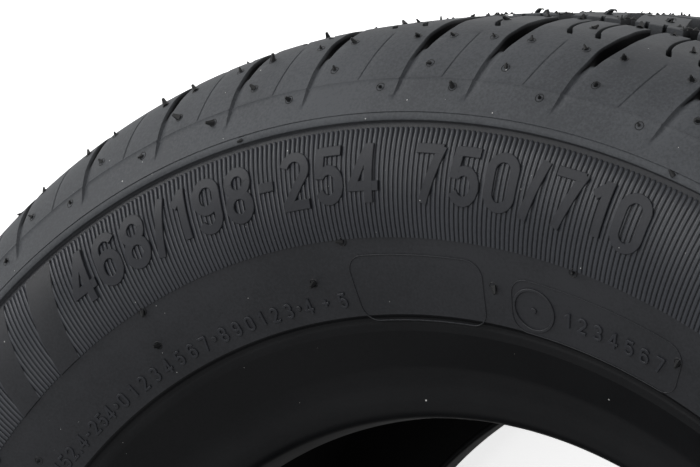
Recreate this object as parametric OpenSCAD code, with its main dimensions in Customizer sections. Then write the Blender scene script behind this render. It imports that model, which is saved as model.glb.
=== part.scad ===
// Low trailer tyre, one moulded piece with an open inside.
// It lies on its side: its axle line is Z, and the middle plane of its tread is z = 0.
// The section is drawn once in r and z, turned round the axle line, and then the tread is cut.

/* [Main sizes] */
// Outside diameter over the new tread
outer_d = 468.5; // [456:0.5:520]
// Width over the two sidewalls where they bulge most
section_w = 198; // [190:0.5:212]
// Diameter of the bead seat at the heel
seat_d = 253.2; // [240:0.1:258]
// Distance between the flat outer faces of the two beads
bead_w = 152.4; // [146:0.1:160]

/* [Tread] */
// Radius of the tread's slight crown, seen in section
crown_r = 800; // [500:10:2000]
// Width of the tread between its two rounded shoulders
flat_w = 132; // [120:1:140]
// Radius of the rounded shoulder
shoulder_r = 32; // [28:0.5:34]
// Depth of the tread grooves
groove_depth = 7.6; // [4:0.1:9]
// Distance from the middle plane to the middle of each wide ring groove
ring_z = 42; // [36:0.5:46]
// Width of each wide ring groove at the surface
ring_w = 10; // [6:0.5:13]
// Width of the ring groove in the middle of the tread
mid_w = 6; // [3:0.5:9]
// How much narrower a ring groove is at its floor
ring_draft = 2; // [0:0.25:2.5]
// Height of the wear bars on the ring grooves' floors
wear_bar_h = 1.6; // [0.8:0.1:2.5]
// Length of each wear bar round the tread, in degrees
wear_bar_angle = 2; // [1:0.25:4]
// Where the first wear bar is, in degrees
wear_bar_start = 102.2; // [0:0.1:120]
// Wear bars in each ring groove
wear_bars = 6; // [4:1:8]

/* [Pitches] */
// Order of long, medium and short tread pitches, which repeats round the tyre
pitch_order = "LLMMLSMLSMLSMLLSM"; // [LLMMLSMLSMLSMLLSM, LMSLMSMLLSMMLSMLS]
// How many times the order repeats
pitch_repeats = 3; // [2:1:4]
// Length of a long pitch, with a short one as 1
long_pitch = 1.3; // [1:0.01:1.5]
// Length of a medium pitch, with a short one as 1
medium_pitch = 1.15; // [1:0.01:1.3]
// Angle of the first shoulder groove, in degrees
first_groove = 129.75; // [0:0.05:360]
// Turn of the far side's pattern against the near side's, in degrees
far_side_turn = 3.4; // [0:0.1:7]

/* [Shoulder grooves] */
// Width of each shoulder groove
shoulder_groove_w = 5.2; // [3:0.1:7]
// Radius of its bend, seen from outside
shoulder_groove_bend = 109; // [80:1:300]
// Distance from the middle plane to the place where it runs straight across
shoulder_groove_z = 75; // [70:0.5:80]
// How far round the shoulder its deep part reaches, in degrees
shoulder_groove_end = 41; // [35:1:50]
// Depth of the shallow tail at its upper end
tail_depth = 2.4; // [1:0.1:3]
// Radius of the tail's rounded bottom
tail_r = 3; // [2:0.1:4]
// How far the tail runs down the skirt below the shoulder
tail_run = 4.5; // [2:0.25:6]
// How far the tail drifts sideways from the groove
tail_drift = 3; // [2:0.1:6]

/* [Sipes and notches] */
// Width of the thin sipes
sipe_w = 0.8; // [0.6:0.1:1.5]
// Depth of the thin sipes
sipe_depth = 5.5; // [3:0.25:7]
// Radius of a shoulder sipe's bend, seen from outside
sipe_bend = 44; // [36:1:100]
// Distance from the middle plane to a shoulder sipe's round end
sipe_end_z = 68; // [62:0.5:70]
// Radius of the round hole at a shoulder sipe's end
sipe_hole_r = 0.9; // [0.7:0.05:1.4]
// Place of the first sipe in a longer pitch, as a share of its length
first_sipe_at = 0.25; // [0.22:0.01:0.34]
// Place of the second one
second_sipe_at = 0.54; // [0.48:0.01:0.62]
// Place of the only sipe in a short pitch, as a share of its length
short_sipe_at = 0.36; // [0.3:0.01:0.5]
// Slanted grooves in each row of middle blocks
slants = 78; // [60:1:90]
// Angle of the first one where it opens in the ring groove, in degrees
first_slant = 83.35; // [0:0.05:360]
// Width of the slanted grooves between the middle blocks
slant_w = 4; // [2.5:0.25:5.5]
// Depth of those grooves
slant_depth = 5.8; // [3:0.1:7]
// Their slant across the tread, in degrees
slant_angle = 24; // [0:1:30]

/* [Sidewall] */
// Where the sidewall bulges most, as a share of its height from bead seat to tread
widest_at = 0.566; // [0.54:0.002:0.6]
// Radius of the bulge, seen in section
bulge_r = 39.4; // [38:0.1:42]
// Thickness of the sidewall there
wall_t = 8.5; // [7:0.25:11]
// Thickness from the crown of the tread to the inside
crown_t = 14; // [12.5:0.25:16]
// Radius of the hollow inside, beside the tread, seen in section
inner_side_r = 34; // [30:0.5:36]
// Where the ribbed band's inner edge is, as a share of the same height
band_in_at = 0.457; // [0.43:0.002:0.5]
// Width of the plain skirt between the rounded shoulder and the raised strip
skirt_w = 7.5; // [6:0.1:9]
// Width of the raised strip outside the band
strip_w = 2.3; // [1.5:0.1:3.5]
// Width of the channel between the band and the strip
channel_w = 1.5; // [1:0.1:2.5]
// Depth of that channel
channel_depth = 1.2; // [0.6:0.1:2]
// How far the top of the raised strip lies below the widest bulge
strip_drop = 3.6; // [2:0.1:5]
// Radius of the flatter sidewall under the ribbed band, seen in section
lower_wall_r = 148; // [120:1:250]

/* [Bead] */
// How far the rounded lip stands above the bead seat
lip_rise = 23.4; // [22:0.2:26]
// How far the lip's edge stands out past the flat bead face
lip_out = 10.9; // [9:0.1:12]
// Radius of that lip's edge
lip_r = 1.3; // [0.8:0.1:2]
// Width of the hollow ring beside the lip
lip_hollow_w = 3; // [2:0.25:4]
// Depth of that hollow ring
lip_hollow_depth = 0.4; // [0.2:0.05:0.8]
// How far above the bead seat the flat bead face starts to flare
flare_rise = 8.2; // [7.5:0.1:10]
// Radius of the flare
flare_r = 10; // [8:0.25:12]
// Radius of the bead's heel
heel_r = 6; // [4:0.25:6.5]
// Radius of the bead's toe
toe_r = 1.2; // [0.6:0.1:2]
// Width of the bead's base
base_w = 15.8; // [13:0.1:18]
// Taper of the bead's base, in degrees
base_taper = 5; // [3:0.5:8]

/* [Hidden] */
$fa = 4;
outer_r = outer_d / 2;
seat_r = seat_d / 2;
wall_h = outer_r - seat_r;
// Past any surface of the tyre, so that a cut leaves no skin
beyond = 12;

// Section points are [r, z], on the side where z is positive. A surface faces the direction a.
function facing(a) = [cos(a), sin(a)];
function angle_of(v) = atan2(v[1], v[0]);

// Round stretch of an outline, in n straight steps
function arc(c, r, a0, a1, n) = [for (i = [0 : n]) c + r * facing(a0 + (a1 - a0) * i / n)];

// Direction in which a straight line faces where it leaves a round hollow for a round edge
function cross_face(c1, r1, c2, r2) = angle_of(c2 - c1) - acos((r1 + r2) / norm(c2 - c1));

// Crown and shoulder
crown_c = [outer_r - crown_r, 0];
function crown_at(z) = crown_c[0] + sqrt(pow(crown_r, 2) - z * z);
shoulder_a = asin(flat_w / 2 / crown_r);
shoulder_end_a = 60;
shoulder_c = crown_c + (crown_r - shoulder_r) * facing(shoulder_a);
shoulder_end = shoulder_c + shoulder_r * facing(shoulder_end_a);

// Sidewall
bulge_c = [seat_r + widest_at * wall_h, section_w / 2 - bulge_r];
function on_bulge(r) = bulge_c + [r - bulge_c[0], sqrt(pow(bulge_r, 2) - pow(r - bulge_c[0], 2))];
strip_out = [shoulder_end[0] - skirt_w, section_w / 2 - strip_drop];
strip_in = strip_out - [strip_w, 0];
band_out = on_bulge(strip_in[0] - channel_w);
band_in = on_bulge(seat_r + band_in_at * wall_h);
band_in_a = angle_of(band_in - bulge_c);

// Lower wall: a flatter arc from the ribbed band to the edge of the lip, no hollower than the bulge's end
lip_edge_r = seat_r + lip_rise + lip_r;
smooth_c = band_in - lower_wall_r * facing(band_in_a);
smooth_z = smooth_c[1] + sqrt(pow(lower_wall_r, 2) - pow(lip_edge_r - smooth_c[0], 2));
lip_edge = [lip_edge_r, max(bead_w / 2 + lip_out, smooth_z)];
lower_chord = band_in - lip_edge;
lower_c = (band_in + lip_edge) / 2
    + sqrt(pow(lower_wall_r / norm(lower_chord), 2) - 1 / 4) * [lower_chord[1], -lower_chord[0]];
function lower_a(r) = acos((r - lower_c[0]) / lower_wall_r);
function on_lower(r) = lower_c + lower_wall_r * facing(lower_a(r));

// Bead
lip_edge_a = lower_a(lip_edge[0]);
lip_c = lip_edge - lip_r * facing(lip_edge_a);
hollow_r = lip_edge[0] + lip_r + lip_hollow_w / 2;
face_z = bead_w / 2;
flare_c = [seat_r + flare_rise, face_z + flare_r];
flare_a = cross_face(flare_c, flare_r, lip_c, lip_r);
heel_c = [seat_r + heel_r, face_z - heel_r];
toe_c = heel_c + (heel_r - toe_r) * facing(180 - base_taper)
    - (base_w - heel_r - toe_r) * facing(90 - base_taper);

// Inside, where the hollow beside the tread takes less than half of the room over the toe
inner_crown_r = crown_r - crown_t;
hollow_side_r = min(inner_side_r, (outer_r - crown_t - toe_c[0]) * 0.45);
inner_side_z = section_w / 2 - wall_t - hollow_side_r;
inner_a = asin(inner_side_z / (inner_crown_r - hollow_side_r));
inner_side_c = crown_c + (inner_crown_r - hollow_side_r) * facing(inner_a);
inner_wall_a = cross_face(inner_side_c, hollow_side_r, toe_c, toe_r);

// Corners of a ring groove at a distance z from the middle plane, w wide at the surface
function ring_corners(z, w) = let (lean = ring_draft / 2) [
    [crown_at(z - w / 2), z - w / 2],
    [crown_at(z) - groove_depth, z - w / 2 + lean],
    [crown_at(z) - groove_depth, z + w / 2 - lean],
    [crown_at(z + w / 2), z + w / 2],
];

// Half of the section, from the middle groove round the bead and back inside
half_section = concat(
    [for (p = ring_corners(0, mid_w)) if (p[1] > 0) p],
    ring_corners(ring_z, ring_w),
    arc(shoulder_c, shoulder_r, shoulder_a, shoulder_end_a, 6),
    [strip_out, strip_in, strip_in - [0, channel_depth], band_out - [0, channel_depth / 2]],
    arc(bulge_c, bulge_r, angle_of(band_out - bulge_c), band_in_a, 8),
    [on_lower((band_in[0] + hollow_r) / 2), on_lower(hollow_r + lip_hollow_w / 2)],
    [on_lower(hollow_r) - lip_hollow_depth * facing(lower_a(hollow_r))],
    arc(lip_c, lip_r, min(lip_edge_a, flare_a + 180), flare_a + 180, 5),
    arc(flare_c, flare_r, flare_a, -90, 5),
    arc(heel_c, heel_r, 90, 180 - base_taper, 5),
    arc(toe_c, toe_r, 180 - base_taper, inner_wall_a + 180, 4),
    arc(inner_side_c, hollow_side_r, inner_wall_a, inner_a, 10)
);

module section() {
    last = len(half_section) - 1;
    far_half = [for (i = [last : -1 : 0]) [half_section[i][0], -half_section[i][1]]];
    polygon(concat(half_section, [[outer_r - crown_t, 0]], far_half));
}

// Pitches: the turn of each one, and the angle of the shoulder groove that starts it
function pitch_len(c) = c == "L" ? long_pitch : c == "M" ? medium_pitch : 1;
function total(v, i = 0) = i < len(v) ? v[i] + total(v, i + 1) : 0;
pitches = [for (k = [1 : pitch_repeats], c = pitch_order) pitch_len(c)];
unit_angle = 360 / total(pitches);
groove_angles = [for (i = 0, a = first_groove; i < len(pitches); a = a - pitches[i] * unit_angle, i = i + 1) a];

// Wear bars on the floors of the three ring grooves
module wear_bars() {
    for (k = [0 : wear_bars - 1], z = [-ring_z, 0, ring_z])
        rotate([0, 0, wear_bar_start + k * 360 / wear_bars - wear_bar_angle / 2])
            rotate_extrude(angle = wear_bar_angle)
                translate([crown_at(z) - groove_depth - 1, z - ring_w / 2])
                    square([1 + wear_bar_h, ring_w]);
}

// A shape drawn in r and z becomes a slice w thick across the local y axis
module slice(w) {
    rotate([90, 0, 0]) linear_extrude(w, center = true) children();
}

// A shape drawn in y and z is pushed outward from radius r, along the local x axis
module outward(r) {
    translate([r, 0, 0]) rotate([90, 0, 90]) linear_extrude(outer_r + beyond - r) children();
}

// Band w wide in y and z, from z0 to z1, bent with radius bend about the height z_mid
module bent_band(w, z0, z1, z_mid, bend, n) {
    zs = [for (i = [0 : n]) z0 + (z1 - z0) * i / n];
    function drift(z) = bend - sign(bend) * sqrt(pow(bend, 2) - pow(z - z_mid, 2));
    polygon(concat(
        [for (i = [0 : n]) [drift(zs[i]) - w / 2, zs[i]]],
        [for (i = [n : -1 : 0]) [drift(zs[i]) + w / 2, zs[i]]]
    ));
}

// Deep part of a shoulder groove, with a floor that follows the shoulder
module shoulder_groove() {
    floor_arc = arc(shoulder_c, shoulder_r - groove_depth, shoulder_a, shoulder_groove_end, 3);
    intersection() {
        slice(2 * beyond) polygon(concat(
            [[crown_at(ring_z) - groove_depth, ring_z]],
            floor_arc,
            [shoulder_c + (shoulder_r + beyond) * facing(shoulder_groove_end)],
            [[outer_r + beyond, flat_w / 2], [outer_r + beyond, ring_z]]
        ));
        outward(shoulder_c[0])
            bent_band(shoulder_groove_w, ring_z - 1, section_w / 2, shoulder_groove_z, shoulder_groove_bend, 3);
    }
}

// Straight rod from point p to point q with six flats
module rod(p, q, r) {
    d = q - p;
    translate(p) rotate([0, acos(d[2] / norm(d)), atan2(d[1], d[0])]) cylinder(h = norm(d), r = r, $fn = 6);
}

// Shallow tail that carries a shoulder groove down on the skirt and dies out there
module tail() {
    start = shoulder_c + (shoulder_r + tail_r - tail_depth) * facing(shoulder_groove_end - 3);
    skirt = (strip_out - shoulder_end) / norm(strip_out - shoulder_end);
    end = shoulder_end + tail_run * skirt + tail_r * [skirt[1], -skirt[0]];
    rod([start[0], 0, start[1]], [end[0], tail_drift, end[1]], tail_r);
}

// Thin bent slot that opens in the ring groove and ends in a wider hole
module shoulder_sipe() {
    ring_edge = ring_z + ring_w / 2;
    floor_r = crown_at(sipe_end_z) - sipe_depth;
    drift = sipe_bend - sqrt(pow(sipe_bend, 2) - pow(sipe_end_z - ring_edge, 2));
    translate([0, drift, 0]) outward(floor_r)
        bent_band(sipe_w, ring_edge - 1, sipe_end_z, ring_edge, -sipe_bend, 2);
    translate([floor_r, 0, sipe_end_z]) rotate([0, 90, 0]) cylinder(h = beyond, r = sipe_hole_r, $fn = 6);
}

// Slot across a row of middle blocks, from the ring groove to the groove in the middle
module slanted_slot() {
    long = ring_z / cos(slant_angle);
    translate([crown_at(ring_z) - slant_depth, 0, ring_z]) rotate([slant_angle, 0, 0])
        translate([0, -slant_w / 2, -long]) cube([beyond + slant_depth, slant_w, long]);
}

// All cuts of one shoulder pitch, which turns by a
module pitch_cuts(a) {
    shoulder_groove();
    tail();
    for (p = a > unit_angle * 1.05 ? [first_sipe_at, second_sipe_at] : [short_sipe_at])
        rotate([0, 0, a * p]) shoulder_sipe();
}

module tyre() {
    color("#3b3d41")
    difference() {
        union() {
            rotate_extrude() section();
            wear_bars();
        }
        for (side = [0, 1], i = [0 : len(pitches) - 1])
            rotate([180 * side, 0, groove_angles[i] + side * far_side_turn])
                pitch_cuts(pitches[(i + (1 - side) * (len(pitches) - 1)) % len(pitches)] * unit_angle);
        for (side = [0, 1], k = [0 : slants - 1])
            rotate([180 * side, 0, first_slant + k * 360 / slants + side * far_side_turn]) slanted_slot();
    }
}

tyre();
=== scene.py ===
import math

import bpy
import numpy as np
from mathutils import Matrix, Vector


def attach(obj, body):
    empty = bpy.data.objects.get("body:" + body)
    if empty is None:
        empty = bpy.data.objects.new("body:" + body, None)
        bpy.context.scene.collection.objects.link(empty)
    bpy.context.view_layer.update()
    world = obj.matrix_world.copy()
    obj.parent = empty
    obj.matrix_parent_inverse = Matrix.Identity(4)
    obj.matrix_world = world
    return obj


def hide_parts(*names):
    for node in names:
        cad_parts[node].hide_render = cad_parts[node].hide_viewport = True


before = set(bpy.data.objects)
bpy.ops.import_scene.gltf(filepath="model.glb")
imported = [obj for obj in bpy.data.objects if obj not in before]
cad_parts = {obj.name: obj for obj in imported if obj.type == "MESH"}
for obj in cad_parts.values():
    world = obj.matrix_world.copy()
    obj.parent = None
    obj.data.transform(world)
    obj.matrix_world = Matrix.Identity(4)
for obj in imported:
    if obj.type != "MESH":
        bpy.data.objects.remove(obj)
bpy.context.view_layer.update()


# Shoulders of the tread: the outer blocks of black tread rubber on both sides, and the skirts under them,
# moulded in one with the rest of the tyre. Cross grooves run out over each shoulder in shallow tails, and
# the pitches have three lengths, so that the tread doesn't hum on one note.
MM = 0.001
SIDES = ("near", "far")
OUTER_R = 234.25
CROWN_R = 800
FLAT_W = 132
SHOULDER_R = 32
SHOULDER_END = 60
BAND_OUT_R = 204.3
CHANNEL_W = 1.5
STRIP_W = 2.3
STRIP_Z = 95.4
RING_Z = 42
RING_W = 10
RING_DRAFT = 2
RING_EDGE = 0.16
GROOVE_DEPTH = 7.6
SHOULDER_START = RING_Z + RING_W / 2

# Pitches, as multiples of the short one
PITCH_ORDER = "LLMMLSMLSLMLSMLLM"
PITCH_REPEATS = 3
PITCH_LENGTHS = {"L": 1.323, "M": 1.17, "S": 1.0}
FIRST_GROOVE = 128.85
FAR_SIDE_TURN = 3.4

# Cross grooves: their course, their columns from the - side to the + side, and the ramp at their end
GROOVE_SWING = 3.5
SWING_START = 50
SWING_RUN = 22
GROOVE_SLOPE = 0.15
SLOPE_START = 75
GROOVE_PLACES = (-2.35, -2.2, -2.05, 1.45, 1.85, 2.08, 2.2, 2.28, 2.36)
GROOVE_PROFILE = (0, 0.03, 1, 1, 0.6, 0.3, 0.13, 0.045, 0)
RAMP_START = 78.0
RAMP_RUN = 8.5
CLOSING_SHARE = 0.17
CLOSING_START = 77
CLOSING_RUN = 9
# Painted shade in the grooves: where it fades out in each column towards a groove's end, over what run, and
# the depths over which it grows
SHADE_ENDS = (81, 81, 81, 82, 83.5, 85.5, 87, 88, 88.5)
SHADE_RUN = 2.5
GROOVE_SHADE_START = 0.05
GROOVE_SHADE_SPAN = 0.55

# Tails that carry the grooves on over the skirt
TAIL_PLACES = (-1.95, -1.55, -1.0, -0.45, 0.1, 0.65, 1.1, 1.38, 1.6)
TAIL_PROFILE = (0, 0.08, 0.27, 0.48, 0.69, 0.88, 1, 0.6, 0)
TAIL_DEPTH = 0.95
TAIL_FADE_START = 90
TAIL_END = 102.3

# Sipes: thin cuts with a wider hole at their end. Past it their columns draw together.
SIPE_W = 1.2
SIPE_DEPTH = 5.5
SIPE_BEND = 50
SIPE_END_Z = 71
SIPE_STOP_Z = 73
SIPE_HOLE_W = 1.75
SIPE_HOLE_START = 68.5
SIPE_HOLE_END = 73.0
IDLE_SHARE = 0.2
LONG_SIPES = (0.283, 0.587)
SHORT_SIPES = (0.43,)

# Fine line and mould line on the skirt
LINE_AT = 0.48
LINE_BEND = 67
LINE_BEND_START = 74
LINE_PLACES = (-0.85, -0.25, 0.02, 0.25)
LINE_PROFILE = (0, 0.7, 1, 0)
LINE_DEPTH = 0.24
LINE_START = 76.5
LINE_END = 95.5
MOULD_LINE = 95.9
MOULD_LINE_H = 0.32

# Wear bars across the ring grooves' floors
WEAR_BARS = 6
WEAR_BAR_START = 102.2
WEAR_BAR_ANGLE = 2
WEAR_BAR_H = 1.6

# Tones: dust, the painted shade of deep grooves and its share of the gloss, and how strongly grain shows
DUST_COLOR = (0.42, 0.42, 0.41, 1)
GROOVE_SHADE_COLOR = (0.004, 0.004, 0.0045, 1)
GROOVE_SHADE_GLOSS = 0.15
MOTTLE = 0.9


def new_group(name, inputs):
    """Shader node group with named inputs: the group and its inputs' outputs."""
    group = bpy.data.node_groups.new(name, "ShaderNodeTree")
    for label, value in inputs.items():
        socket = group.interface.new_socket(label, in_out="INPUT", socket_type="NodeSocketFloat")
        socket.default_value = value
    return group, group.nodes.new("NodeGroupInput").outputs


def end_group(group, results):
    for label in results:
        group.interface.new_socket(label, in_out="OUTPUT", socket_type="NodeSocketFloat")
    add_node(group, "NodeGroupOutput", results)
    return group


def add_node(tree, kind, links=None, **settings):
    """New node. Settings name its properties or sockets, and links gives what feeds a socket."""
    node = tree.nodes.new(kind)
    for key, value in settings.items():
        if hasattr(node, key):
            setattr(node, key, value)
        else:
            node.inputs[key.replace("_", " ")].default_value = value
    for key, source in (links or {}).items():
        tree.links.new(source, node.inputs[key])
    return node


def math_node(tree, operation, a, b):
    node = tree.nodes.new("ShaderNodeMath")
    node.operation = operation
    for socket, value in zip(node.inputs, (a, b)):
        if isinstance(value, (int, float)):
            socket.default_value = value
        else:
            tree.links.new(value, socket)
    return node.outputs[0]


def make_dust_group():
    """Mask of fine light specks: one speck in some cells of a 3-D pattern."""
    group, given = new_group("dust_specks", {"Cells per metre": 350.0, "Share": 0.1, "Radius": 0.09})
    place = add_node(group, "ShaderNodeTexCoord").outputs["Object"]
    cells = add_node(group, "ShaderNodeTexVoronoi", {"Vector": place, "Scale": given["Cells per metre"]})
    pick = add_node(group, "ShaderNodeSeparateColor", {"Color": cells.outputs["Color"]})
    chosen = math_node(group, "LESS_THAN", pick.outputs["Red"], given["Share"])
    size = math_node(group, "MULTIPLY", pick.outputs["Green"], given["Radius"])
    inside = math_node(group, "LESS_THAN", cells.outputs["Distance"], size)
    return end_group(group, {"Mask": math_node(group, "MULTIPLY", chosen, inside)})


def make_grain_group():
    """Height of the moulded grain, and a slow cloud that varies tone and gloss."""
    group, given = new_group("moulded_grain", {"Grain per metre": 1300.0, "Cloud per metre": 26.0})
    place = add_node(group, "ShaderNodeTexCoord").outputs["Object"]
    grain = add_node(group, "ShaderNodeTexNoise", {"Vector": place, "Scale": given["Grain per metre"]},
                     Detail=3.0, Roughness=0.6)
    cloud = add_node(group, "ShaderNodeTexNoise", {"Vector": place, "Scale": given["Cloud per metre"]},
                     Detail=5.0, Roughness=0.6)
    return end_group(group, {"Height": grain.outputs["Fac"], "Cloud": cloud.outputs["Fac"]})


dust_group = make_dust_group()
grain_group = make_grain_group()


def mix_colors(tree, factor, first, second):
    """Blend of two colours, each a value or another node's output."""
    node = add_node(tree, "ShaderNodeMix", {"Factor": factor}, data_type="RGBA")
    for socket, color in zip([s for s in node.inputs if s.type == "RGBA"], (first, second)):
        if isinstance(color, tuple):
            socket.default_value = color
        else:
            tree.links.new(color, socket)
    return next(s for s in node.outputs if s.type == "RGBA")


def make_rubber(name, dark, pale, roughness, grain_depth, dust_share, specular):
    """Rubber that drifts between two near greys, with grain and dust. Painted shade darkens it and dulls its
    gloss in deep grooves.
    """
    material = bpy.data.materials.new(name)
    material.use_nodes = True
    tree = material.node_tree
    shader = tree.nodes["Principled BSDF"]
    grain = add_node(tree, "ShaderNodeGroup", node_tree=grain_group)
    dust = add_node(tree, "ShaderNodeGroup", node_tree=dust_group, Share=dust_share)
    mottle = math_node(tree, "MULTIPLY", grain.outputs["Height"], MOTTLE)
    mottle = math_node(tree, "ADD", mottle, grain.outputs["Cloud"])
    tone = add_node(tree, "ShaderNodeMapRange", {"Value": mottle},
                    From_Min=0.35 + MOTTLE / 2, From_Max=0.68 + MOTTLE / 2)
    # Painted shade: a point attribute turns the rubber near black and dulls its gloss in deep grooves and
    # slots
    groove_shade = add_node(tree, "ShaderNodeAttribute", attribute_name="groove_shade")
    body = mix_colors(tree, tone.outputs["Result"], (*dark, 1), (*pale, 1))
    groove_shaded = mix_colors(tree, groove_shade.outputs["Fac"], body, GROOVE_SHADE_COLOR)
    dusty = mix_colors(tree, dust.outputs["Mask"], groove_shaded, DUST_COLOR)
    tree.links.new(dusty, shader.inputs["Base Color"])
    rough = add_node(tree, "ShaderNodeMapRange", {"Value": grain.outputs["Cloud"]},
                     From_Min=0.3, From_Max=0.7, To_Min=roughness - 0.06, To_Max=roughness + 0.06)
    tree.links.new(rough.outputs["Result"], shader.inputs["Roughness"])
    bump = add_node(tree, "ShaderNodeBump", {"Height": grain.outputs["Height"]}, Strength=1.0,
                    Distance=grain_depth * MM)
    tree.links.new(bump.outputs["Normal"], shader.inputs["Normal"])
    gloss = add_node(tree, "ShaderNodeMapRange", {"Value": groove_shade.outputs["Fac"]},
                     To_Min=specular, To_Max=specular * GROOVE_SHADE_GLOSS)
    tree.links.new(gloss.outputs["Result"], shader.inputs["Specular IOR Level"])
    return material


tread_rubber = make_rubber("tread_rubber", (0.0405, 0.0435, 0.0485), (0.063, 0.067, 0.0735),
                           0.62, 0.045, 0.3, 0.3)


def facing(angle):
    return np.array([math.cos(math.radians(angle)), math.sin(math.radians(angle))])


crown_c = np.array([OUTER_R - CROWN_R, 0.0])
shoulder_a = math.degrees(math.asin(FLAT_W / 2 / CROWN_R))
shoulder_c = crown_c + (CROWN_R - SHOULDER_R) * facing(shoulder_a)
shoulder_end = shoulder_c + SHOULDER_R * facing(SHOULDER_END)
strip_in = np.array([BAND_OUT_R + CHANNEL_W, STRIP_Z])
strip_out = strip_in + [STRIP_W, 0]

# Distances along the outside from the middle plane, where its stretches end
CROWN_RUN = CROWN_R * math.radians(shoulder_a)
SHOULDER_RUN = CROWN_RUN + SHOULDER_R * math.radians(SHOULDER_END - shoulder_a)
SKIRT_RUN = SHOULDER_RUN + float(np.linalg.norm(strip_out - shoulder_end))


def tread_at(run):
    """Point and outward direction, in r and z, at a distance along the outside."""
    if run <= CROWN_RUN:
        out = facing(math.degrees(run / CROWN_R))
        return crown_c + CROWN_R * out, out
    if run <= SHOULDER_RUN:
        out = facing(shoulder_a + math.degrees((run - CROWN_RUN) / SHOULDER_R))
        return shoulder_c + SHOULDER_R * out, out
    along = (strip_out - shoulder_end) / np.linalg.norm(strip_out - shoulder_end)
    blend = min((run - SHOULDER_RUN) / (SKIRT_RUN - SHOULDER_RUN), 1)
    out = facing(SHOULDER_END) * (1 - blend) + np.array([along[1], -along[0]]) * blend
    return shoulder_end + along * (run - SHOULDER_RUN), out / np.linalg.norm(out)


pitches = [PITCH_LENGTHS[c] for c in PITCH_ORDER * PITCH_REPEATS]
unit_angle = 360 / sum(pitches)
pitches = [p * unit_angle for p in pitches]


def side_layout(side):
    """Start angle and length of each pitch of a side, in its own frame, as the angle grows."""
    lengths = pitches[::-1] if side == 0 else pitches
    start = FIRST_GROOVE if side == 0 else -(FIRST_GROOVE + FAR_SIDE_TURN)
    layout = []
    for length in lengths:
        layout.append((start, length))
        start += length
    return layout


def smooth_step(x):
    x = min(max(x, 0), 1)
    return x * x * (3 - 2 * x)


def shade_of(depth):
    """Share of painted shade, which darkens the rubber and dulls its gloss, at a depth below the tread."""
    return min(max((depth - GROOVE_SHADE_START) / GROOVE_SHADE_SPAN, 0), 1)


def bend_at(radius, distance):
    """How far an arc has left its tangent at a distance along it."""
    return radius - math.sqrt(radius ** 2 - distance ** 2)


def line_drift(run):
    """How far the fine line drifts towards the + side on its way down the skirt."""
    return bend_at(LINE_BEND, min(max(run - LINE_BEND_START, 0), LINE_END - LINE_BEND_START))


def groove_middle(run):
    """Middle of a groove and its tail across: a soft swing on the shoulder, then a slant down the skirt."""
    swing = GROOVE_SWING * (1 - smooth_step((run - SWING_START) / SWING_RUN))
    return swing + GROOVE_SLOPE * max(run - SLOPE_START, 0)


def sipe_curve(z):
    """Place of a sipe's middle line across, with 0 at its round end."""
    reach = min(max(z, SHOULDER_START), SIPE_STOP_Z) - SHOULDER_START
    return bend_at(SIPE_BEND, SIPE_END_Z - SHOULDER_START) - bend_at(SIPE_BEND, reach)


# Each feature gives the place across, depth and shade of its own columns in one row of the grid
def groove_feature(run, z):
    centre = groove_middle(run)
    left = max(1 - max(run - TAIL_FADE_START, 0) / (TAIL_END - TAIL_FADE_START), 0)
    tail_depth = TAIL_DEPTH * (1 - (1 - left) ** 4) * (0.7 + 0.3 * left)
    rise = smooth_step((run - RAMP_START) / RAMP_RUN)
    closing = 1 - CLOSING_SHARE * smooth_step((run - CLOSING_START) / CLOSING_RUN)
    columns = []
    shapes = zip(GROOVE_PLACES, GROOVE_PROFILE, TAIL_PLACES, TAIL_PROFILE, SHADE_ENDS)
    for place, deep, wide, shallow, shade_end in shapes:
        shade = shade_of(GROOVE_DEPTH * deep) * (1 - smooth_step((run - shade_end) / SHADE_RUN))
        depth = GROOVE_DEPTH * deep * (1 - rise) + tail_depth * shallow * rise
        at = centre + place * closing * (1 - rise) + wide * (0.7 + 0.3 * left ** 0.6) * rise
        columns.append((at, depth, shade))
    return columns


def slot_columns(centre, half, depth, narrow=1):
    """Columns of a slot with upright walls and slightly broken edges."""
    places = [-half - 0.25, -half, -half + 0.13, half - 0.13, half, half + 0.25]
    depths = [0, min(depth, 0.1), depth, depth, min(depth, 0.1), 0]
    return [(centre + place * narrow, deep, shade_of(deep)) for place, deep in zip(places, depths)]


def sipe_feature(run, z):
    hole = SIPE_HOLE_START < run < SIPE_HOLE_END
    depth = SIPE_DEPTH if run <= SIPE_HOLE_END else 0
    narrow = 1 - (1 - IDLE_SHARE) * smooth_step((run - SIPE_HOLE_END - 0.5) / 1.5)
    centre = sipe_curve(z) + line_drift(run)
    return slot_columns(centre, (SIPE_HOLE_W if hole else SIPE_W) / 2, depth, narrow)


def line_feature(run, z):
    centre = sipe_curve(z) - sipe_curve(SIPE_STOP_Z) + line_drift(run)
    inside = smooth_step((run - LINE_START) / 2) * (1 - smooth_step((run - LINE_END + 0.5) / 0.8))
    share = IDLE_SHARE + (1 - IDLE_SHARE) * smooth_step((run - LINE_START + 2) / 2)
    return [(centre + place * share, LINE_DEPTH * deep * inside, 0)
            for place, deep in zip(LINE_PLACES, LINE_PROFILE)]


def pitch_columns(length, run, point, kinds, fill, next_first):
    """Angle, depth and shade of one pitch's columns: its features' own, and evenly spaced ones between."""
    per_mm = math.degrees(1 / point[0])
    columns = []
    for at, feature in kinds + [(length, None)]:
        own = feature(run, point[1]) if feature else [(next_first, 0, 0)]
        if columns:
            last = columns[-1][0]
            step = (at + own[0][0] * per_mm - last) / (fill + 1)
            columns += [(last + step * k, 0, 0) for k in range(1, fill + 1)]
        if feature:
            columns += [(at + place * per_mm, depth, shade) for place, depth, shade in own]
    return columns


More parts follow.
